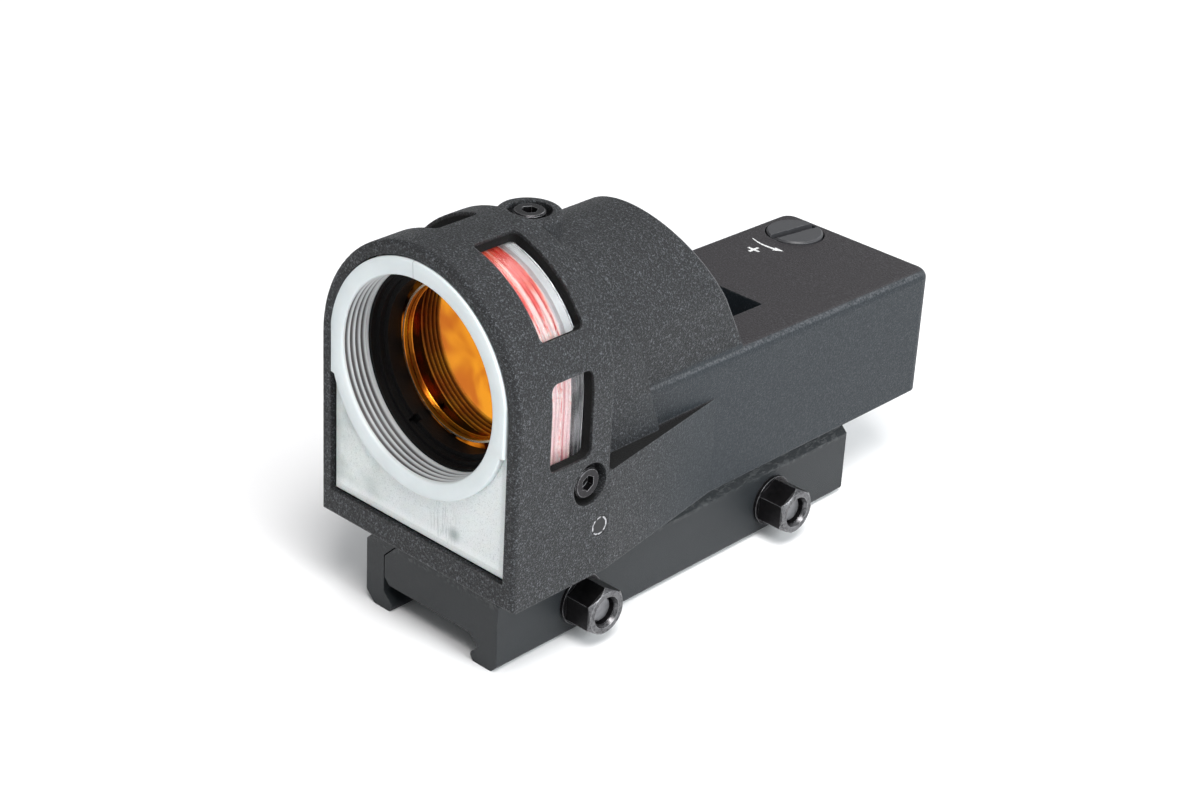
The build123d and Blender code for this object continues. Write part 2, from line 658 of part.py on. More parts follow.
def clamp_nut(y):
    """Hexagon with a turned outer corner and a countersunk mouth, along local +Z."""
    turned = Pos(0, 0, NUT_LENGTH / 2) * Cylinder(NUT_ACROSS / 2 + 0.6, NUT_LENGTH)
    turned = chamfer(turned.edges().sort_by(Axis.Z)[-1], 0.7)
    nut = hex_prism(NUT_ACROSS, NUT_LENGTH) & turned
    nut -= Pos(0, 0, NUT_LENGTH / 2) * Cylinder(BOLT_R + RUN, 2 * NUT_LENGTH)
    nut -= Pos(0, 0, NUT_LENGTH - 0.4) * Cone(BOLT_R, BOLT_R + 0.45, 0.9)
    return Pos(NUT_START, y, BOLT_Z) * Rot(0, 90, 0) * nut


def washer(y):
    disc = rod_x(WASHER_R, BASE_HALF + 0.02, NUT_START - RUN, y, BOLT_Z)
    return disc - rod_x(BOLT_R + 0.1, 10, 30, y, BOLT_Z)


# ---------------------------------------------------------------- export

def parts():
    made = {
        "housing": housing(),
        "front_plate": front_plate(),
        "front_ring": front_ring(),
        "step_ring": step_ring(),
        "aperture_ring": aperture_ring(),
        "objective_front": objective_front(),
        "objective_rear": objective_rear(),
        "objective_seal": objective_seal(),
        "bobbin": bobbin(),
        "fibre_coil": fibre_coil(),
        "pane_upper_right": pane_upper(1),
        "pane_upper_left": pane_upper(-1),
        "pane_side_right": pane_side(1),
        "pane_side_left": pane_side(-1),
        "side_plug": side_plug(),
        "light_guide": light_guide(),
        "rear_window": rear_window(),
        "rear_retainer": rear_retainer(),
        "emitter_glass": emitter_glass(),
        "box_cover": box_cover(),
        "elevation_screw": elevation_screw(),
        "elevation_clip": elevation_clip(),
        "elevation_nut": elevation_nut(),
        "windage_screw": windage_screw(),
        "windage_clip": windage_clip(),
        "windage_saddle": windage_saddle(),
        "saddle_pin_front": saddle_pin(SADDLE_PIN_DEPTHS[0]),
        "saddle_pin_rear": saddle_pin(SADDLE_PIN_DEPTHS[1]),
        "reticle_pin_left": reticle_pin(-RETICLE_PIN_X),
        "reticle_pin_right": reticle_pin(RETICLE_PIN_X),
        "reticle_block": reticle_block(),
        "reticle_mask": reticle_mask(),
        "glow_capsule": glow_capsule(),
        "base": base(),
        "clamp_bar": clamp_bar(),
    }
    for name, place in cap_places().items():
        made[name] = cap_screw(place)
    for number, (x, y) in enumerate(cover_screw_places(), 1):
        made[f"cover_screw_{number}"] = cover_screw(x, y)
    for end, y in (("front", -BOLT_PITCH / 2), ("rear", BOLT_PITCH / 2)):
        made[f"cross_bolt_{end}"] = cross_bolt(y)
        made[f"clamp_nut_{end}"] = clamp_nut(y)
        made[f"washer_{end}"] = washer(y)
    made["base_screw_front"] = base_screw(-BASE_SCREW_Y)
    made["base_screw_rear"] = base_screw(BASE_SCREW_Y)
    return made


if __name__ == "__main__":
    os.makedirs("parts", exist_ok=True)
    for name, shape in parts().items():
        export_step(shape, f"parts/{name}.step")
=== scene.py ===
import json
import math

import bmesh
import bpy
from mathutils import Matrix, Vector


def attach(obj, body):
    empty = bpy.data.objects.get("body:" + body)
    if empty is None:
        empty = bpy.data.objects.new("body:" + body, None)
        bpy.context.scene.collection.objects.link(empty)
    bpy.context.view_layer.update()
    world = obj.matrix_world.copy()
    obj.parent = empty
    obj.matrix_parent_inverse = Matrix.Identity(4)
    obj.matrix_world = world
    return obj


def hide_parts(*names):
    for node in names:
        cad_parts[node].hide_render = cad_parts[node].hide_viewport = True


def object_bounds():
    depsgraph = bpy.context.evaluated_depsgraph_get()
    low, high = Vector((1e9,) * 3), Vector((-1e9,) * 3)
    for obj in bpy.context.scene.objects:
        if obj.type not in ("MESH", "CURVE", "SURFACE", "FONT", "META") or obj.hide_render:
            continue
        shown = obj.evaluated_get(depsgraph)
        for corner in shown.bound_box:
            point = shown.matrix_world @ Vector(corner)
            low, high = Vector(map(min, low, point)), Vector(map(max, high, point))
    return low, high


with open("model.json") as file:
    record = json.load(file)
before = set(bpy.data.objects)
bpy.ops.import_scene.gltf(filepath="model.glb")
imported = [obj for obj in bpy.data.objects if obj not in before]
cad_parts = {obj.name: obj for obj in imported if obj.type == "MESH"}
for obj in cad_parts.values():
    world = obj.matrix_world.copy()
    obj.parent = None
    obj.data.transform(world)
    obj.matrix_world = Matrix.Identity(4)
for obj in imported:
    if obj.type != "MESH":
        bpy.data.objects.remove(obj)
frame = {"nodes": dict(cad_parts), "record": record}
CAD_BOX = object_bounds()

# Looks of a reflex sight on a rail clamp. Lengths are in millimetres and MM turns them into metres;
# only the studio at the end is in metres. The frame is the part's own: +Z up, +Y back to the shooter,
# +X the side of the clamp nuts.
MM = 0.001

AXIS_Z = 45.0              # optical axis
FRONT_Y = -48.7            # front face of the housing
RING_FACE = FRONT_Y - 0.4
RING_R = 20.45
RING_FLAT = 20.25
RING_SHOULDER = 6.5        # the flange's straight sides end this far below the axis
RING_BACK = FRONT_Y + 5.4
THREAD_START = RING_FACE + 0.5
THREAD_END = RING_BACK - 0.3
FLANGE_BACK = FRONT_Y + 0.75
NECK_R = 18.2
THREAD_R = 17.4
THREAD_DEPTH = 0.6
THREAD_PITCH = 1.15
THREAD_SHAPE = 0.7         # below 1, so that the crests are narrower than the grooves
COIL_FRONT = FRONT_Y + 6.8
COIL_REAR = FRONT_Y + 15.3
COIL_R = 19.5              # middle of the fibre
FIBRE_R = 0.45
FIBRE_PITCH = 0.95
DISC = Vector((-9.6, FRONT_Y + 106.9))  # middle of the elevation screw
PLUG_Y = FRONT_Y + 19.8    # middle of the side plug
PLUG_Z = 20.4
NUT_END = 21.55            # the clamp nuts are scuffed bright beyond this X
BLOCK_R = 23.0             # outside of the block's arch
BLOCK_REAR = FRONT_Y + 22.0
STAGE_REAR = -14.0         # the step behind the block ends near here, low on the sides
BARREL_SIDE = 17.0         # half the barrel's width
LEDGE_Z = 30.5             # ledges beside the barrel
APERTURE_R = 13.9
ROOF_AT_BLOCK = 37.9       # top of the rear box behind the block, falling 1.9 to the rear face
ROOF_SLOPE = 1.9 / 92.5


def roof(y):
    """Height of the rear box's top."""
    return ROOF_AT_BLOCK - ROOF_SLOPE * (y - BLOCK_REAR)


# ---------------------------------------------------------------- materials

class Shader:
    """One procedural material, with short calls for its nodes. Sizes are in millimetres."""

    def __init__(self, name, **values):
        self.material = bpy.data.materials.new(name)
        self.material.use_nodes = True
        self.tree = self.material.node_tree
        self.base = self.tree.nodes["Principled BSDF"]
        self.where = self.add("ShaderNodeTexCoord").outputs["Object"]
        axes = self.add("ShaderNodeSeparateXYZ", {"Vector": self.scaled((1 / MM,) * 3)})
        self.x, self.y, self.z = axes.outputs
        self.put(**values)

    def add(self, kind, inputs=None, **settings):
        made = self.tree.nodes.new(kind)
        for key, value in settings.items():
            setattr(made, key, value)
        for key, value in (inputs or {}).items():
            self.feed(made.inputs[key], value)
        return made

    def feed(self, socket, value):
        if isinstance(value, bpy.types.NodeSocket):
            self.tree.links.new(value, socket)
        elif isinstance(value, tuple) and len(value) == 3 and socket.type == "RGBA":
            socket.default_value = (*value, 1.0)
        else:
            socket.default_value = value

    def put(self, **values):
        """Sets the surface shader's inputs, named with _ for each space."""
        for key, value in values.items():
            self.feed(self.base.inputs[key.replace("_", " ")], value)
        return self

    def scaled(self, factors):
        """Object coordinates times three factors."""
        inputs = {0: self.where, 1: factors}
        return self.add("ShaderNodeVectorMath", inputs, operation="MULTIPLY").outputs[0]

    def maths(self, operation, first, second=0.0, third=0.0):
        inputs = {0: first, 1: second, 2: third}
        return self.add("ShaderNodeMath", inputs, operation=operation).outputs[0]

    def minus(self, first, second):
        return self.maths("SUBTRACT", first, second)

    def noise(self, size, detail=2.0, rough=0.5, stretch=(1.0, 1.0, 1.0), warp=0.0):
        """Noise with features of a size in millimetres, longer along the axes that stretch names."""
        place = self.scaled(tuple(1 / (MM * size * s) for s in stretch))
        inputs = {"Vector": place, "Scale": 1.0, "Detail": detail, "Roughness": rough, "Distortion": warp}
        return self.add("ShaderNodeTexNoise", inputs).outputs["Fac"]

    def ramp(self, value, low, high, start=0.0, end=1.0):
        """Smooth step from start at low to end at high, where low may be the greater one."""
        inputs = {"Value": value, "From Min": low, "From Max": high, "To Min": start, "To Max": end}
        return self.add("ShaderNodeMapRange", inputs, interpolation_type="SMOOTHSTEP").outputs["Result"]

    def mix(self, share, first, second):
        """The first colour at share 0 and the second at share 1."""
        inputs = {0: share, 6: first, 7: second}
        return self.add("ShaderNodeMix", inputs, data_type="RGBA").outputs[2]

    def rounded(self, radius):
        """Normal with softened corners."""
        return self.add("ShaderNodeBevel", {"Radius": radius * MM}, samples=4).outputs["Normal"]

    def edges(self, radius, low=0.004, high=0.05):
        """1 along sharp edges, 0 on open faces."""
        true = self.add("ShaderNodeNewGeometry").outputs["Normal"]
        inputs = {0: self.rounded(radius), 1: true}
        facing = self.add("ShaderNodeVectorMath", inputs, operation="DOT_PRODUCT").outputs["Value"]
        return self.ramp(self.minus(1.0, facing), low, high)

    def bump(self, height, depth, normal=None):
        """Normal of a surface whose height varies by depth millimetres."""
        inputs = {"Height": height, "Distance": depth * MM, "Strength": 1.0}
        if normal is not None:
            inputs["Normal"] = normal
        return self.add("ShaderNodeBump", inputs).outputs["Normal"]

    def up(self):
        """Vertical part of the surface normal."""
        normal = self.add("ShaderNodeNewGeometry").outputs["Normal"]
        return self.add("ShaderNodeSeparateXYZ", {"Vector": normal}).outputs["Z"]

    def product(self, *shares):
        total = shares[0]
        for share in shares[1:]:
            total = self.maths("MULTIPLY", total, share)
        return total

    def near(self, value, middle, far, close):
        """1 where the value is within close of the middle, fading to 0 at far."""
        return self.ramp(self.maths("ABSOLUTE", self.minus(value, middle)), far, close)

    def arch_radius(self):
        """Distance from the axis above it, and from the middle plane below it."""
        rise = self.maths("MAXIMUM", self.minus(self.z, AXIS_Z), 0.0)
        return self.length(self.x, rise)

    def length(self, first, second):
        """Length of a vector with two parts."""
        squares = self.maths("ADD", self.product(first, first), self.product(second, second))
        return self.maths("SQRT", squares)

    def from_axis(self):
        """Distance from the optical axis."""
        return self.length(self.x, self.minus(self.z, AXIS_Z))

    def on_sides(self):
        """1 along the winding's straight sides, 0 round the arch."""
        return self.ramp(self.z, AXIS_Z + 8.0, AXIS_Z + 5.0)


def housing_painted_shade(s, grain, radius):
    """Painted shade on the housing: black in the space round the winding and on the ledges beside the
    barrel, where shade falls.
    """
    behind_face = s.ramp(s.y, FRONT_Y + 1.0, FRONT_Y + 3.0)
    before_wall = s.ramp(s.y, BLOCK_REAR - 2.0, BLOCK_REAR - 3.0)
    inside = s.product(behind_face, before_wall, s.ramp(radius, BLOCK_R - 0.1, BLOCK_R - 0.8))
    behind_block = s.ramp(s.y, BLOCK_REAR, BLOCK_REAR + 0.5)
    ragged = s.maths("MULTIPLY_ADD", grain, 3.0, radius)
    beside_barrel = s.ramp(ragged, BARREL_SIDE + 1.6, BARREL_SIDE + 3.0)
    ledge = s.product(behind_block, s.ramp(s.up(), 0.25, 0.6))
    ledge = s.product(ledge, s.near(s.z, LEDGE_Z, 2.5, 1.5), beside_barrel)
    return s.maths("MAXIMUM", inside, ledge)


def housing_paint(s, satin, grain, fine):
    """Black paint with pale flecks, bluer on the sides of the rear box and painted warmer on its roof, a
    tint of the light falling on top.
    """
    roof_light_tint = s.product(satin, s.ramp(s.up(), 0.9, 0.97))
    body = s.mix(s.noise(9.0, 3.0), (0.0035, 0.0037, 0.0045), (0.008, 0.0085, 0.0100))
    body = s.mix(satin, body, (0.0085, 0.0125, 0.0165))
    # painted light: the up-facing roof tinted warmer by the light falling on top
    body = s.mix(roof_light_tint, body, (0.0150, 0.0120, 0.0140))
    flecks = s.maths("ADD", s.ramp(grain, 0.53, 0.70, 0.0, 0.6), s.ramp(fine, 0.58, 0.72, 0.0, 0.6))
    fewer = s.ramp(satin, 0.0, 1.0, 1.0, 0.2)
    return s.mix(s.product(flecks, fewer), body, (0.165, 0.178, 0.195))


def housing_wear(s, body, radius):
    """Paint worn pale on sharp edges, with a painted highlight along the top edges of the rear box where
    the barrel meets them and on the barrel's rear rim.
    """
    scuff_and_glint_noise = s.ramp(s.noise(0.45, 3.0, 0.7), 0.38, 0.66)
    top_edge = s.maths("MULTIPLY_ADD", s.y, -ROOF_SLOPE, roof(0.0) - 0.4)
    from_edge = s.maths("ABSOLUTE", s.minus(s.z, top_edge))
    at_side = s.ramp(radius, BARREL_SIDE - 0.6, BARREL_SIDE - 0.2)
    behind_stage = s.ramp(s.y, STAGE_REAR, STAGE_REAR + 2.0)
    # painted highlight: a pale line along the box's top edge where the barrel meets it, broken up by the
    # noise
    crease_highlight = s.product(s.ramp(from_edge, 0.5, 0.15), behind_stage, at_side)
    body = s.mix(s.product(crease_highlight, scuff_and_glint_noise, 0.6), body, (0.12, 0.125, 0.135))
    body = s.mix(s.product(s.edges(0.45), scuff_and_glint_noise, 0.6), body, (0.12, 0.12, 0.125))
    high = s.ramp(s.z, AXIS_Z - 5.0, AXIS_Z - 3.0)
    # painted highlight: a bright line along the barrel's rear rim
    rim = s.product(s.edges(0.3), s.ramp(s.y, STAGE_REAR + 2.0, STAGE_REAR + 6.0), high)
    return s.mix(s.product(rim, 0.8), body, (0.24, 0.24, 0.25))


def housing_coat():
    """Rough sparkling paint on the block and barrel, smoother satin on the rear box."""
    s = Shader("rough_black_coat")
    rough_end, satin_start = -24.0, 2.0
    under_roof = s.ramp(s.z, ROOF_AT_BLOCK + 0.6, ROOF_AT_BLOCK - 0.2)
    satin = s.product(s.ramp(s.y, rough_end, satin_start), under_roof)
    grain = s.noise(0.33, 3.0, 0.65)
    fine = s.noise(0.17, 2.0, 0.6)
    radius = s.arch_radius()
    painted_shade = housing_painted_shade(s, grain, radius)
    body = housing_wear(s, housing_paint(s, satin, grain, fine), radius)
    # painted shade: near black in the window spaces round the winding and on the ledges beside the barrel
    body = s.mix(painted_shade, body, (0.0015, 0.0015, 0.0016))
    strength = s.ramp(satin, 0.0, 1.0, 1.0, 0.3)
    height = s.product(s.maths("MULTIPLY_ADD", fine, 0.4, grain), strength)
    normal = s.bump(height, 0.36, s.rounded(0.35))
    rough = s.maths("MAXIMUM", s.ramp(grain, 0.35, 0.75, 0.58, 0.38), s.product(painted_shade, 0.9))
    return s.put(Base_Color=body, Roughness=rough, Normal=normal, Specular_IOR_Level=0.36).material


def fine_coat():
    """Matt paint with a fine grain and a rough strip below the housing."""
    s = Shader("fine_black_coat")
    grain = s.noise(0.2, 3.0, 0.6)
    patches = s.noise(6.0, 3.0)
    blots = s.ramp(s.noise(0.8, 3.0, 0.7, (1.0, 2.2, 1.0)), 0.48, 0.62)
    strip_foot = 6.6
    strip = s.product(s.ramp(s.z, strip_foot, strip_foot + 1.0), blots)
    wear = s.product(s.edges(0.3), s.ramp(s.noise(0.7, 2.0), 0.4, 0.7))
    body = s.mix(patches, (0.0075, 0.0095, 0.0115), (0.0135, 0.0165, 0.0190))
    body = s.mix(s.product(s.ramp(grain, 0.58, 0.72), 0.45), body, (0.06, 0.063, 0.066))
    body = s.mix(s.product(strip, 0.45), body, (0.075, 0.078, 0.080))
    body = s.mix(s.product(wear, 0.45), body, (0.075, 0.079, 0.083))
    normal = s.bump(s.maths("ADD", grain, strip), 0.07, s.rounded(0.25))
    return s.put(Base_Color=body, Roughness=0.5, Normal=normal, Specular_IOR_Level=0.4).material


def ring_plastic():
    """Smooth pale moulding with a hairline seam near the top, painted shade inside the bore and darker
    painted shade in the thread's grooves.
    """
    s = Shader("ring_plastic")
    radius = s.from_axis()
    clouds = s.noise(5.0, 3.0)
    body = s.mix(clouds, (0.55, 0.60, 0.61), (0.66, 0.705, 0.715))
    behind_face = s.ramp(s.y, RING_FACE + 0.5, RING_FACE + 1.0)
    inside = s.product(s.ramp(radius, NECK_R, NECK_R - 0.15), behind_face)
    groove = s.product(s.ramp(radius, THREAD_R + 0.12, THREAD_R + 0.5), inside)
    # painted shade: the bore darker behind the face, and the thread's grooves near black
    body = s.mix(s.product(inside, 0.35), body, (0.36, 0.345, 0.355))
    body = s.mix(s.product(groove, 0.95), body, (0.045, 0.038, 0.040))
    seam_x, seam_lean = 0.3, 0.06
    upright = s.maths("MULTIPLY_ADD", s.minus(s.z, AXIS_Z), seam_lean, s.x)
    off_seam = s.maths("ABSOLUTE", s.minus(upright, seam_x))
    seam = s.product(s.ramp(off_seam, 0.10, 0.03), s.ramp(s.z, AXIS_Z, AXIS_Z + 2))
    body = s.mix(s.product(seam, 0.6), body, (0.12, 0.13, 0.14))
    fine = s.noise(0.5, 2.0)
    normal = s.bump(s.minus(s.product(fine, 0.2), seam), 0.03, s.rounded(0.12))
    s.put(Base_Color=body, Roughness=0.36, Normal=normal, Subsurface_Weight=0.06, Subsurface_Scale=MM)
    return s.material


def plate_plastic():
    """Frosted plate with grey streaks in the middle and one darker blotch, painted lighter towards the
    right, with a painted highlight along its foot and painted shade along the edges of its sides and foot.
    """
    s = Shader("frosted_plate")
    side, foot = 19.2, 17.5
    streak_x, streak_z = 6.0, AXIS_Z - 24.0
    blotch_x, blotch_z = 8.6, AXIS_Z - 25.2
    frost = s.noise(0.35, 3.0, 0.7)
    clouds = s.noise(7.0, 3.0, 0.55)
    lines = s.noise(0.9, 3.0, 0.6, (0.4, 1.0, 5.0), 0.5)
    centre = s.product(s.near(s.x, streak_x, 4.5, 1.0), s.near(s.z, streak_z, 4.5, 2.0))
    streaks = s.product(s.ramp(lines, 0.50, 0.66), centre)
    reach = s.length(s.minus(s.x, blotch_x), s.minus(s.z, blotch_z))
    blotch = s.ramp(s.maths("MULTIPLY_ADD", clouds, 2.0, reach), 3.2, 0.9)
    at_side = s.ramp(s.maths("ABSOLUTE", s.x), side - 0.4, side)
    rim = s.maths("MAXIMUM", at_side, s.ramp(s.z, foot + 0.4, foot))
    body = s.mix(s.ramp(clouds, 0.3, 0.7), (0.48, 0.525, 0.51), (0.70, 0.74, 0.73))
    # painted light: lighter towards the right
    body = s.mix(s.ramp(s.x, -16.0, 4.0), body, (0.68, 0.71, 0.71))
    body = s.mix(s.ramp(frost, 0.46, 0.70, 0.0, 0.6), body, (0.37, 0.40, 0.40))
    # painted highlight: a pale band along the foot
    body = s.mix(s.ramp(s.z, foot + 2.0, foot + 0.5, 0.0, 0.5), body, (0.80, 0.82, 0.82))
    body = s.mix(s.product(streaks, 0.6), body, (0.33, 0.35, 0.36))
    body = s.mix(s.product(blotch, 0.8), body, (0.20, 0.25, 0.255))
    # painted shade: a darker line along the edges of the sides and foot
    body = s.mix(s.product(rim, 0.5), body, (0.50, 0.53, 0.52))
    normal = s.bump(s.maths("MULTIPLY_ADD", clouds, 1.5, frost), 0.1, s.rounded(0.15))
    rough = s.ramp(frost, 0.3, 0.7, 0.22, 0.42)
    s.put(Base_Color=body, Roughness=rough, Normal=normal, Subsurface_Weight=0.2, Subsurface_Scale=MM)
    return s.material


def fibre_plastic():
    """Red fluorescent fibre, orange red towards the crown and washed out to pink and white below, with a
    faint painted glow.
    """
    s = Shader("red_fibre")
    turns = s.noise(1.2, 2.0, 0.5, (16.0, 0.6, 16.0))
    flecks = s.noise(0.35, 2.0, 0.7, (3.0, 0.6, 3.0))
    low = s.ramp(s.z, AXIS_Z + 18.5, AXIS_Z + 8.0)
    side = s.on_sides()
    body = s.mix(s.ramp(turns, 0.42, 0.60), (0.74, 0.045, 0.035), (0.90, 0.22, 0.11))
    pale = s.ramp(s.maths("MULTIPLY_ADD", low, 0.22, turns), 0.50, 0.66)
    body = s.mix(pale, body, (0.90, 0.62, 0.60))
    washed = s.product(s.ramp(flecks, 0.42, 0.58), s.ramp(low, 0.2, 1.0, 0.0, 0.75))
    body = s.mix(washed, body, (0.92, 0.88, 0.87))
    body = s.mix(s.product(side, s.ramp(turns, 0.40, 0.48), 0.8), body, (0.80, 0.52, 0.54))
    body = s.mix(s.product(side, s.ramp(turns, 0.56, 0.62), 0.7), body, (0.70, 0.16, 0.17))
    # painted glow: the fibre emits its own colour faintly, though it is no lamp
    s.put(Base_Color=body, Roughness=0.28, Emission_Color=body, Emission_Strength=0.06)
    return s.put(Subsurface_Weight=0.1, Subsurface_Scale=0.6 * MM).material


def clear_plastic():
    """Clear pane with drawing lines that run along the arc."""
    s = Shader("clear_pane")
    lines = s.noise(0.3, 3.0, 0.6, (16.0, 1.0, 16.0))
    normal = s.bump(lines, 0.05)
    s.put(Base_Color=(0.97, 0.98, 0.98), Roughness=0.12, Transmission_Weight=1.0, IOR=1.49)
    return s.put(Normal=normal).material


def amber_mirror():
    """Lens whose coating mirrors amber light and lets the rest through; its border is darker, with painted
    orange glints that also glow, most low down.
    """
    s = Shader("amber_mirror")
    radius = s.from_axis()
    clouds = s.ramp(s.noise(9.0, 2.0, 0.5, warp=0.6), 0.38, 0.62)
    body = s.mix(clouds, (0.50, 0.120, 0.0015), (0.74, 0.27, 0.006))
    # painted reflection: bright orange patches round the border, which also glow as painted light
    painted_glow_mask = s.ramp(s.noise(4.5, 2.0, 0.5), 0.42, 0.62)
    border = s.mix(painted_glow_mask, (0.055, 0.016, 0.003), (0.95, 0.36, 0.012))
    outside = s.ramp(radius, APERTURE_R - 0.1, APERTURE_R + 0.1)
    body = s.mix(outside, body, border)
    painted_glow = s.product(outside, painted_glow_mask, s.ramp(s.z, AXIS_Z + 12.0, AXIS_Z - 6.0), 0.55)
    s.put(Emission_Color=(1.0, 0.30, 0.02), Emission_Strength=painted_glow)
    dust = s.ramp(s.noise(0.12, 1.0), 0.72, 0.8)
    rough = s.maths("MULTIPLY_ADD", dust, 0.12, 0.03)
    s.put(Base_Color=body, Metallic=0.9, Roughness=rough, Transmission_Weight=1.0, IOR=1.52)
    return s.material


def glass(name, tint):
    """Clear glass with a few specks of dust."""
    s = Shader(name)
    dust = s.ramp(s.noise(0.15, 1.0), 0.7, 0.8)
    rough = s.maths("MULTIPLY_ADD", dust, 0.15, 0.01)
    return s.put(Base_Color=tint, Roughness=rough, Transmission_Weight=1.0, IOR=1.5).material


def turned_metal(name, colour, bright, rough):
    """Turned metal with fine tool lines across Y and bright edges."""
    s = Shader(name, Metallic=0.9)
    lines = s.noise(0.25, 2.0, 0.6, (6.0, 1.0, 6.0))
    spots = s.noise(1.2, 3.0)
    edge = s.edges(0.12)
    body = s.mix(s.product(spots, 0.5), colour, bright)
    body = s.mix(s.product(edge, 0.7), body, bright)
    normal = s.bump(lines, 0.02, s.rounded(0.08))
    roughness = s.ramp(lines, 0.3, 0.7, rough, rough + 0.15)
    return s.put(Base_Color=body, Roughness=roughness, Normal=normal).material


def black_turned():
    """Black anodised metal with lathe lines, inside the optics and on the adjusters."""
    s = Shader("black_anodised")
    lines = s.noise(0.12, 2.0, 0.7, (9.0, 1.0, 9.0))
    dust = s.ramp(s.noise(0.25, 2.0), 0.66, 0.78)
    edge = s.edges(0.12)
    body = s.mix(s.product(dust, 0.5), (0.008, 0.008, 0.009), (0.07, 0.07, 0.075))
    body = s.mix(s.product(edge, 0.5), body, (0.09, 0.09, 0.095))
    normal = s.bump(lines, 0.03, s.rounded(0.1))
    return s.put(Base_Color=body, Roughness=0.4, Normal=normal).material


def matt_black():
    """Black powdery metal of the stepped ring, with a few dust grains."""
    s = Shader("matt_black")
    grains = s.noise(0.22, 2.0, 0.7)
    dust = s.ramp(grains, 0.66, 0.76)
    body = s.mix(s.product(dust, 0.5), (0.0022, 0.0020, 0.0021), (0.05, 0.048, 0.048))
    normal = s.bump(grains, 0.12, s.rounded(0.12))
    return s.put(Base_Color=body, Roughness=0.62, Normal=normal, Specular_IOR_Level=0.22).material


def gilt():
    """Thin gilt ring: a painted highlight on its crest and a dull olive wall."""
    s = Shader("gilt_ring", Metallic=1.0)
    crest_y = FRONT_Y + 9.75
    crest_highlight = s.ramp(s.y, crest_y + 0.2, crest_y)
    lines = s.noise(0.15, 2.0, 0.6, (8.0, 1.0, 8.0))
    # painted highlight: the crest near white gold, the wall behind it dull olive
    body = s.mix(crest_highlight, (0.24, 0.20, 0.12), (0.92, 0.86, 0.70))
    body = s.mix(s.product(s.ramp(lines, 0.5, 0.7), 0.3), body, (0.60, 0.52, 0.36))
    return s.put(Base_Color=body, Roughness=0.25, Normal=s.bump(lines, 0.01)).material


def satin_disc():
    """Dark grey anodised adjusting disc, lightly brushed."""
    s = Shader("satin_disc")
    brushed = s.noise(0.25, 3.0, 0.6, (1.0, 5.0, 5.0))
    edge = s.product(s.edges(0.2), s.ramp(s.noise(0.6, 2.0), 0.35, 0.6))
    body = s.mix(brushed, (0.026, 0.026, 0.029), (0.046, 0.046, 0.050))
    body = s.mix(s.product(edge, 0.6), body, (0.13, 0.13, 0.14))
    normal = s.bump(brushed, 0.02, s.rounded(0.15))
    return s.put(Base_Color=body, Roughness=0.42, Normal=normal).material


def plug_metal():
    """Black plug with a painted highlight round its rim, broken up by noise."""
    s = Shader("plug_metal", Metallic=0.6)
    reach = s.length(s.minus(s.y, PLUG_Y), s.minus(s.z, PLUG_Z))
    scuff_and_glint_noise = s.noise(0.8, 3.0, 0.6)
    # painted highlight: a bright ring near the plug's edge
    rim = s.product(s.near(reach, 1.55, 0.22, 0.08), s.ramp(scuff_and_glint_noise, 0.35, 0.55))
    gap = s.ramp(reach, 1.72, 1.80)
    body = s.mix(scuff_and_glint_noise, (0.012, 0.012, 0.013), (0.03, 0.03, 0.032))
    body = s.mix(rim, body, (0.50, 0.50, 0.52))
    body = s.mix(gap, body, (0.001, 0.001, 0.001))
    normal = s.bump(s.minus(scuff_and_glint_noise, gap), 0.05)
    return s.put(Base_Color=body, Roughness=0.4, Normal=normal).material


def bobbin_plastic():
    """White bobbin; its flange is grimy grey along the sides."""
    s = Shader("bobbin_plastic")
    streaks = s.noise(0.5, 3.0, 0.6, (2.0, 1.0, 12.0))
    grimy = s.product(s.ramp(s.y, COIL_REAR - 0.3, COIL_REAR + 0.1), s.on_sides())
    grime = s.mix(s.ramp(streaks, 0.40, 0.62), (0.035, 0.037, 0.040), (0.30, 0.29, 0.30))
    body = s.mix(s.noise(4.0), (0.66, 0.67, 0.69), (0.84, 0.85, 0.87))
    body = s.mix(grimy, body, grime)
    normal = s.bump(streaks, 0.03, s.rounded(0.15))
    return s.put(Base_Color=body, Roughness=0.42, Normal=normal).material


def oxide(name, bright_from=None):
    """Black oxide steel with worn edges; a nut is also bright on its outer end."""
    s = Shader(name, Metallic=0.85)
    mottle = s.noise(0.8, 3.0)
    worn = s.product(s.edges(0.16, 0.003, 0.03), s.ramp(mottle, 0.25, 0.55))
    if bright_from is not None:
        scuffed = s.ramp(s.noise(0.5, 3.0), 0.3, 0.6, 0.12, 0.42)
        end = s.product(s.ramp(s.x, bright_from, bright_from + 0.12), scuffed)
        worn = s.maths("MAXIMUM", worn, end)
    body = s.mix(mottle, (0.010, 0.009, 0.010), (0.035, 0.033, 0.036))
    body = s.mix(worn, body, (0.32, 0.32, 0.33))
    normal = s.bump(s.noise(0.15, 2.0), 0.02, s.rounded(0.1))
    rough = s.ramp(worn, 0.0, 1.0, 0.3, 0.38)
    return s.put(Base_Color=body, Roughness=rough, Normal=normal).material


def soft_rubber():
    s = Shader("seal_rubber")
    normal = s.bump(s.noise(0.2), 0.02)
    return s.put(Base_Color=(0.012, 0.012, 0.012), Roughness=0.7, Normal=normal).material


def moulded(name, dark, light):
    """Moulded plastic with a fine texture."""
    s = Shader(name)
    body = s.mix(s.noise(4.0, 2.0), dark, light)
    normal = s.bump(s.noise(0.3, 3.0), 0.03, s.rounded(0.15))
    return s.put(Base_Color=body, Roughness=0.42, Normal=normal).material


def glowing():
    s = Shader("glow_tube")
    body = s.mix(s.noise(1.0), (0.9, 0.25, 0.08), (1.0, 0.45, 0.15))
    return s.put(Base_Color=body, Roughness=0.2, Emission_Color=body, Emission_Strength=0.8).material


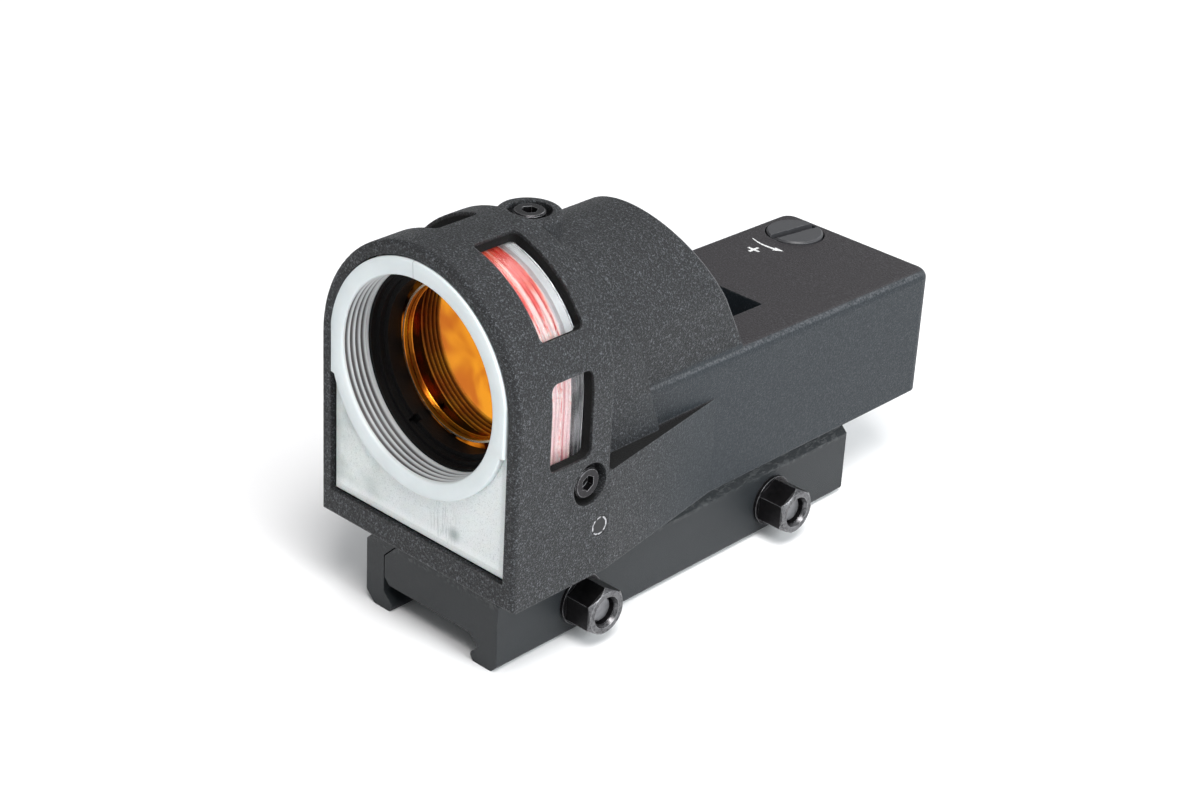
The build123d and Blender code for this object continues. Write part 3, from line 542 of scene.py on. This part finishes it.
def white_paint():
    s = Shader("white_paint")
    worn = s.noise(0.25, 3.0, 0.7)
    body = s.mix(s.ramp(worn, 0.35, 0.6), (0.45, 0.45, 0.45), (0.80, 0.80, 0.80))
    return s.put(Base_Color=body, Roughness=0.55, Normal=s.bump(worn, 0.01)).material


def node_materials():
    """Gives each CAD node its slot's material, and a few nodes one of their own."""
    by_slot = {
        "housing": housing_coat(),
        "base": fine_coat(),
        "cover": moulded("cover_coat", (0.016, 0.017, 0.018), (0.026, 0.027, 0.029)),
        "black_metal": black_turned(),
        "brass": turned_metal("gilt_brass", (0.52, 0.38, 0.17), (0.85, 0.72, 0.45), 0.2),
        "steel": turned_metal("turned_steel", (0.13, 0.13, 0.14), (0.45, 0.45, 0.46), 0.3),
        "screw": oxide("oxide_screw"),
        "nut": oxide("oxide_nut", NUT_END),
        "front_plate": plate_plastic(),
        "front_ring": ring_plastic(),
        "white_plastic": moulded("white_moulding", (0.70, 0.70, 0.70), (0.84, 0.84, 0.84)),
        "fibre": fibre_plastic(),
        "pane": clear_plastic(),
        "clear_glass": glass("clear_glass", (0.95, 0.98, 0.97)),
        "objective": amber_mirror(),
        "capsule": glowing(),
        "seal": soft_rubber(),
    }
    disc = satin_disc()
    by_node = {"step_ring": matt_black(), "aperture_ring": gilt(), "side_plug": plug_metal()}
    by_node.update(elevation_screw=disc, windage_screw=disc, bobbin=bobbin_plastic())
    by_node.update(washer_front=by_slot["screw"], washer_rear=by_slot["screw"])
    for part in frame["record"]["subparts"]:
        node = part["node"]
        mesh = frame["nodes"][node].data
        mesh.materials.clear()
        mesh.materials.append(by_node.get(node, by_slot[part["material_slot"]]))
    return by_slot


# ---------------------------------------------------------------- pieces

def new_object(name, shape, material, body):
    """Links a mesh or curve and lets it ride on a CAD body."""
    made = bpy.data.objects.new(name, shape)
    bpy.context.scene.collection.objects.link(made)
    shape.materials.append(material)
    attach(made, body)
    return made


def mesh_from(name, points, faces, smooth=True):
    """Mesh from points in millimetres, with its faces turned outwards."""
    mesh = bpy.data.meshes.new(name)
    mesh.from_pydata([Vector(p) * MM for p in points], [], faces)
    work = bmesh.new()
    work.from_mesh(mesh)
    bmesh.ops.recalc_face_normals(work, faces=work.faces)
    work.to_mesh(mesh)
    work.free()
    for face in mesh.polygons:
        face.use_smooth = smooth
    return mesh


def held(value):
    """Value kept between 0 and 1."""
    return min(1.0, max(0.0, value))


def thread_radius(y, turn):
    """Inner radius of the ring; turn runs from 0 to 1 round the axis."""
    run_in, run_out = 0.4, 0.3
    fade_in = held((y - THREAD_START) / run_in)
    fade_out = held((THREAD_END - y) / run_out)
    phase = (y - RING_FACE) / THREAD_PITCH - turn
    wave = 0.5 - 0.5 * math.cos(2 * math.pi * phase)
    return THREAD_R + THREAD_DEPTH * wave ** THREAD_SHAPE * min(fade_in, fade_out)


def flange_rim(angle):
    """Outer radius of the flange: a circle with straight sides that end in small shoulders."""
    side = RING_FLAT / max(abs(math.cos(angle)), 0.1)  # far outside the circle near the crown
    on_side = -RING_SHOULDER <= side * math.sin(angle) <= 0
    return side if on_side else min(RING_R, side)


def threaded_ring(material):
    """Front ring with a real helical thread, in place of the plain bore."""
    around = 360
    samples = 68
    mouth = 0.35  # the bore's mouth is chamfered by this much, in two steps
    step = 0.12
    corner = [(0.25, 0.0), (0.07, 0.08), (0.0, 0.27)]  # rounded rim, by its depth and cut
    start = RING_FACE + mouth
    points = []
    for i in range(around):
        turn = i / around
        angle = 2 * math.pi * turn
        rim = flange_rim(angle)
        profile = [(RING_FACE, THREAD_R + mouth), (RING_FACE + step, THREAD_R + step)]
        for j in range(samples):
            y = start + (RING_BACK - start) * j / (samples - 1)
            profile.append((y, thread_radius(y, turn)))
        profile += [(RING_BACK, NECK_R), (FLANGE_BACK, NECK_R), (FLANGE_BACK, rim)]
        profile += [(RING_FACE + depth, rim - cut) for depth, cut in corner]
        points += [(r * math.cos(angle), y, AXIS_Z + r * math.sin(angle)) for y, r in profile]
    count = len(profile)
    faces = []
    for i in range(around):
        here, there = i * count, (i + 1) % around * count
        for j in range(count):
            k = (j + 1) % count
            faces.append((here + j, here + k, there + k, there + j))
    mesh = mesh_from("threaded_ring", points, faces)
    made = new_object("threaded_ring", mesh, material, "sight")
    split = made.modifiers.new("crisp", "EDGE_SPLIT")
    split.split_angle = math.radians(50)
    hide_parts("front_ring")


def coil_outline():
    """One turn of the winding in the XZ plane: arch, straight sides and a narrower foot."""
    steps = 36
    side = COIL_R
    foot = COIL_R - 2.4
    shoulder = AXIS_Z - 11.6
    floor = AXIS_Z - 24.7
    arc = [math.pi * i / steps for i in range(steps + 1)]
    right_down = [
        (side, AXIS_Z - 4),
        (side, AXIS_Z - 8),
        (side, shoulder + 0.6),
        (side - 0.4, shoulder - 0.5),
        (foot + 0.5, shoulder - 1.9),
        (foot, shoulder - 3.0),
        (foot, AXIS_Z - 19),
        (foot, floor + 1.5),
        (foot - 0.4, floor + 0.4),
        (foot - 1.5, floor),
        (foot - 9, floor),
        (0, floor),
    ]
    left_up = [(-x, z) for x, z in reversed(right_down[:-1])]
    top = [(-side * math.cos(a), AXIS_Z + side * math.sin(a)) for a in arc]
    return top + right_down + left_up


def fibre_winding(material):
    """The fibre wound turn beside turn, in place of the plain band."""
    outline = coil_outline()
    turns = int((COIL_REAR - COIL_FRONT - 2 * FIBRE_R) / FIBRE_PITCH)
    lengths = [0.0]
    for (x0, z0), (x1, z1) in zip(outline, outline[1:] + outline[:1]):
        lengths.append(lengths[-1] + math.hypot(x1 - x0, z1 - z0))
    points = []
    for turn in range(turns):
        for (x, z), run in zip(outline, lengths):
            y = COIL_FRONT + FIBRE_R + FIBRE_PITCH * (turn + run / lengths[-1])
            points.append((x, y, z))
    curve = bpy.data.curves.new("fibre_winding", "CURVE")
    curve.dimensions = "3D"
    curve.bevel_depth = FIBRE_R * MM
    curve.bevel_resolution = 3
    curve.use_fill_caps = True
    line = curve.splines.new("POLY")
    line.points.add(len(points) - 1)
    for spot, place in zip(line.points, points):
        spot.co = (*(Vector(place) * MM), 1.0)
    line.use_smooth = True
    made = new_object("fibre_winding", curve, material, "sight")
    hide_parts("fibre_coil")


def mark(name, outline, material):
    """Thin painted shape on the sloping roof, from (x, y) points."""
    top, bottom = 0.03, -0.02
    count = len(outline)
    points = [(x, y, roof(y) + level) for level in (top, bottom) for x, y in outline]
    faces = [tuple(range(count)), tuple(range(2 * count - 1, count - 1, -1))]
    faces += [(i, (i + 1) % count, (i + 1) % count + count, i + count) for i in range(count)]
    new_object(name, mesh_from(name, points, faces, False), material, "sight")


def on_circle(radius, degrees):
    """Point on the roof, round the elevation screw."""
    angle = math.radians(degrees)
    return (DISC.x + radius * math.cos(angle), DISC.y + radius * math.sin(angle))


def turn_arrow(material):
    """Curved arrow beside the elevation screw, widening to its head."""
    start, neck, tip = -112.0, -75.0, -63.0  # degrees round the screw
    radius, drift = 9.0, 0.3  # the tail's middle, and how far it drifts outwards
    half_start, half_growth = 0.10, 0.20
    head_outside, head_tip, head_inside = 10.1, 9.5, 8.6
    steps = 14
    outer, inner = [], []
    for i in range(steps + 1):
        share = i / steps
        angle = start + (neck - start) * share
        half = half_start + half_growth * share
        middle = radius + drift * share
        outer.append(on_circle(middle + half, angle))
        inner.append(on_circle(middle - half, angle))
    head = [on_circle(head_outside, neck), on_circle(head_tip, tip), on_circle(head_inside, neck)]
    mark("arrow_mark", outer + head + inner[::-1], material)


def plus_sign(material):
    """Plus sign in front of the elevation screw."""
    x, y, long, wide = -9.4, FRONT_Y + 94.6, 1.3, 0.27
    corners = [(wide, wide), (wide, long), (-wide, long), (-wide, wide), (-long, wide), (-long, -wide)]
    corners += [(-wide, -wide), (-wide, -long), (wide, -long), (wide, -wide), (long, -wide), (long, wide)]
    mark("plus_mark", [(x + dx, y + dy) for dx, dy in corners], material)


# ---------------------------------------------------------------- studio

def studio_floor():
    """Wide pale floor at the height of the part's lowest point."""
    half = 3.0
    height = CAD_BOX[0].z
    mesh = bpy.data.meshes.new("floor")
    corners = [(-half, -half, height), (half, -half, height), (half, half, height), (-half, half, height)]
    mesh.from_pydata(corners, [], [(0, 1, 2, 3)])
    floor = bpy.data.objects.new("floor", mesh)
    bpy.context.scene.collection.objects.link(floor)
    s = Shader("pale_floor")
    s.put(Base_Color=(0.93, 0.93, 0.935), Roughness=0.9, Specular_IOR_Level=0.1)
    mesh.materials.append(s.material)


def soft_light(name, place, size, power, colour=(1.0, 1.0, 1.0)):
    """Square area light that faces the middle of the part."""
    lamp = bpy.data.lights.new(name, "AREA")
    lamp.shape = "SQUARE"
    lamp.size = size
    lamp.energy = power
    lamp.color = colour
    holder = bpy.data.objects.new(name, lamp)
    holder.location = place
    aim = Vector((0.0, 0.01, 0.03)) - Vector(place)
    holder.rotation_euler = aim.to_track_quat("-Z", "Y").to_euler()
    bpy.context.scene.collection.objects.link(holder)


def surroundings(dim, bright):
    """Studio walls, brightest low down behind the right side, dim overhead and to the front left."""
    world = bpy.data.worlds.new("studio")
    world.use_nodes = True
    tree = world.node_tree
    back = tree.nodes["Background"]
    aim = tree.nodes.new("ShaderNodeVectorMath")
    aim.operation = "DOT_PRODUCT"
    aim.inputs[1].default_value = (0.60, 0.50, -0.62)
    fade = tree.nodes.new("ShaderNodeMapRange")
    fade.inputs["From Min"].default_value = -0.6
    fade.inputs["From Max"].default_value = 0.5
    fade.inputs["To Min"].default_value = dim
    fade.inputs["To Max"].default_value = bright
    tree.links.new(tree.nodes.new("ShaderNodeTexCoord").outputs["Generated"], aim.inputs[0])
    tree.links.new(aim.outputs["Value"], fade.inputs["Value"])
    tree.links.new(fade.outputs["Result"], back.inputs["Strength"])
    back.inputs["Color"].default_value = (0.95, 0.98, 1.0, 1.0)
    bpy.context.scene.world = world


def camera():
    """Camera in front, to the right and above, with a slight roll."""
    place = Matrix.Translation((0.26524, -0.29922, 0.23418))
    swing = Matrix.Rotation(math.radians(42.032), 4, "Z")
    tilt = Matrix.Rotation(math.radians(62.289), 4, "X")
    roll = Matrix.Rotation(math.radians(3.17), 4, "Z")
    view = bpy.data.cameras.new("camera")
    view.sensor_width = 36.0
    view.lens = 77.4
    view.clip_start = 0.01
    view.clip_end = 20.0
    holder = bpy.data.objects.new("camera", view)
    holder.matrix_world = place @ swing @ tilt @ roll
    bpy.context.scene.collection.objects.link(holder)
    bpy.context.scene.camera = holder


def studio():
    """Floor, surroundings, three soft lights and the camera."""
    studio_floor()
    surroundings(0.32, 0.86)
    soft_light("key", (0.4, -0.3, 0.9), 0.45, 9.0, (1.0, 0.98, 0.97))
    soft_light("side", (0.9, 0.0, 0.42), 0.4, 7.5, (0.93, 0.98, 1.0))
    soft_light("back", (-0.1, 0.85, 0.75), 0.4, 2.5)
    bpy.context.scene.view_settings.view_transform = "Standard"
    camera()


materials = node_materials()
paint = white_paint()
threaded_ring(materials["front_ring"])
fibre_winding(materials["fibre"])
turn_arrow(paint)
plus_sign(paint)
studio()
